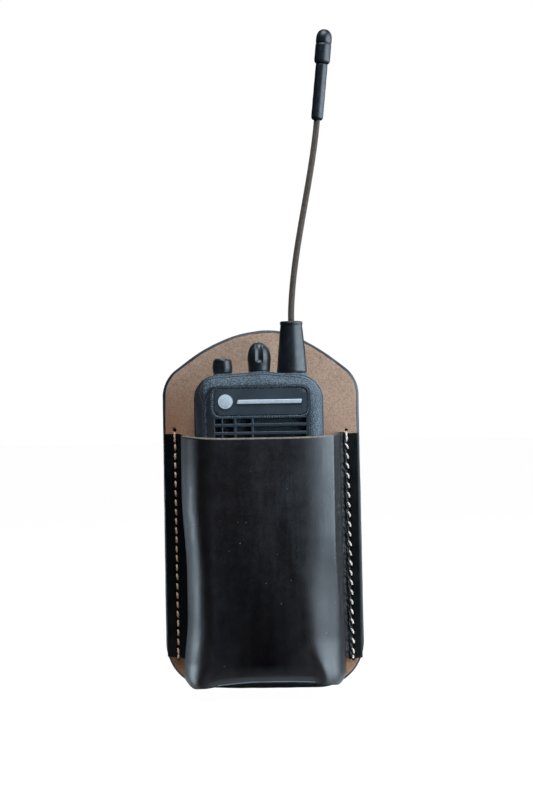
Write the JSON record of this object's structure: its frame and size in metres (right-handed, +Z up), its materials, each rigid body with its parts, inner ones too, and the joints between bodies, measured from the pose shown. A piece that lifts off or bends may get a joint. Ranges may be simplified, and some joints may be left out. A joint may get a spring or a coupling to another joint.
{
  "type": "two-way radio in a belt holster",
  "caption": "Hand-held two-way radio with a flexible whip antenna, standing in a crowned leather belt holster with a sewn box pocket.",
  "frame": {"origin": "lowest edge of the holster's back panel, on its rear face, at its centreline", "axes": "+Z up along the radio and its antenna, -Y towards the pocket's front, +X to the right seen from the front"},
  "size_m": [0.0939, 0.0551, 0.309],
  "materials": {
    "panel_leather": "undyed flesh side, suede-like, with a dark painted edge",
    "pocket_leather": "dark brown-black smooth grain, semi-gloss",
    "thread_tan": "tan waxed thread",
    "thread_cream": "cream waxed thread",
    "housing_plastic": "black polycarbonate with a fine spark texture",
    "knob_rubber": "black moulded knob rubber",
    "antenna_rubber": "black moulded antenna rubber",
    "cable_braid": "brown-grey braided cable",
    "plate_plastic": "black satin plate",
    "mark_white": "white printed mark",
    "cast_alloy": "die-cast alloy",
    "seal_rubber": "black seal rubber",
    "felt": "black acoustic felt",
    "steel": "plated steel",
    "magnet": "dark plated magnet",
    "paper_cone": "treated paper cone",
    "board_green": "green solder-mask circuit board",
    "tinplate": "tin-plated sheet",
    "brass": "brass",
    "lens": "red clear lens",
    "battery_plastic": "black battery case",
    "cell_wrap": "blue wrapped metal cell"
  },
  "bodies": {
    "holster": {"holster_back_panel": "panel_leather", "holster_pocket": "pocket_leather", "seam_thread_left": "thread_tan", "seam_thread_right": "thread_cream", "belt_loop": "pocket_leather", "belt_loop_thread_lower": "thread_tan", "belt_loop_thread_upper": "thread_tan"},
    "radio": {"accessory_cover": "housing_plastic", "accessory_jack_block": "plate_plastic", "antenna_socket": "brass", "badge_disc": "mark_white", "battery_case_front": "battery_plastic", "battery_case_rear": "battery_plastic", "battery_cell_left": "cell_wrap", "battery_cell_right": "cell_wrap", "battery_contact_plate": "brass", "channel_nut": "brass", "channel_switch_body": "tinplate", "chassis_screw_left": "steel", "chassis_screw_right": "steel", "control_board": "board_green", "front_housing": "housing_plastic", "grille_felt": "felt", "latch_spring": "steel", "led_lens": "lens", "main_board": "board_green", "main_seal": "seal_rubber", "microphone": "tinplate", "microphone_boot": "seal_rubber", "nameplate": "plate_plastic", "nameplate_bar": "mark_white", "ptt_seal": "seal_rubber", "ptt_switch": "plate_plastic", "radio_contact_block": "plate_plastic", "rear_chassis": "cast_alloy", "rf_shield": "tinplate", "speaker_basket": "steel", "speaker_bracket": "steel", "speaker_magnet": "magnet", "volume_nut": "brass", "volume_switch_body": "tinplate"},
    "volume_control": {"volume_knob": "knob_rubber", "volume_shaft": "steel"},
    "channel_control": {"channel_knob": "knob_rubber", "channel_shaft": "steel"},
    "antenna": {"antenna_base": "antenna_rubber", "antenna_stud": "brass"},
    "whip": {"antenna_whip": "cable_braid", "antenna_tip_sleeve": "antenna_rubber", "antenna_tip_cap": "antenna_rubber"},
    "ptt": {"ptt_button": "knob_rubber"},
    "upper_side_button": {"side_button_upper": "knob_rubber"},
    "lower_side_button": {"side_button_lower": "knob_rubber"},
    "latch": {"battery_latch": "battery_plastic"},
    "cover_screw": {"accessory_cover_screw": "steel"},
    "cone": {"speaker_cone": "paper_cone"}
  },
  "joints": [
    {"name": "radio_slide", "type": "slide", "parent": "holster", "child": "radio", "axis": [0, 0, 1], "range_m": [0, 0.125]},
    {"name": "volume_turn", "type": "hinge", "parent": "radio", "child": "volume_control", "pos_m": [-0.0175, -0.021, 0.1494], "axis": [0, 0, -1], "range_deg": [0, 270]},
    {"name": "channel_turn", "type": "hinge", "parent": "radio", "child": "channel_control", "pos_m": [-0.0004, -0.021, 0.1494], "axis": [0, 0, -1], "range_deg": [0, 337.5]},
    {"name": "antenna_turn", "type": "hinge", "parent": "radio", "child": "antenna", "pos_m": [0.0148, -0.02, 0.1494], "axis": [0, 0, 1], "range_deg": [0, 1800]},
    {"name": "whip_bend", "type": "hinge", "parent": "antenna", "child": "whip", "pos_m": [0.0155, -0.02, 0.198], "axis": [0, 1, 0], "range_deg": [-40, 40], "stiffness_Nm_per_rad": 0.03, "deforming": ["antenna_whip"]},
    {"name": "ptt_press", "type": "slide", "parent": "radio", "child": "ptt", "axis": [1, 0, 0], "range_m": [0, 0.0015], "stiffness_N_per_m": 2500, "springref_m": -0.0004},
    {"name": "upper_side_button_press", "type": "slide", "parent": "radio", "child": "upper_side_button", "axis": [1, 0, 0], "range_m": [0, 0.0008], "stiffness_N_per_m": 2500, "springref_m": -0.0004},
    {"name": "lower_side_button_press", "type": "slide", "parent": "radio", "child": "lower_side_button", "axis": [1, 0, 0], "range_m": [0, 0.0008], "stiffness_N_per_m": 2500, "springref_m": -0.0004},
    {"name": "battery_latch_slide", "type": "slide", "parent": "radio", "child": "latch", "axis": [0, 1, 0], "range_m": [0, 0.002], "stiffness_N_per_m": 800, "springref_m": -0.001, "deforming": ["latch_spring"]},
    {"name": "accessory_screw_turn", "type": "hinge", "parent": "radio", "child": "cover_screw", "pos_m": [0.029, -0.0304, 0.1084], "axis": [1, 0, 0], "range_deg": [0, 1080]},
    {"name": "cone_travel", "type": "slide", "parent": "radio", "child": "cone", "axis": [0, -1, 0], "range_m": [-0.0003, 0.0003], "stiffness_N_per_m": 3000}
  ]
}
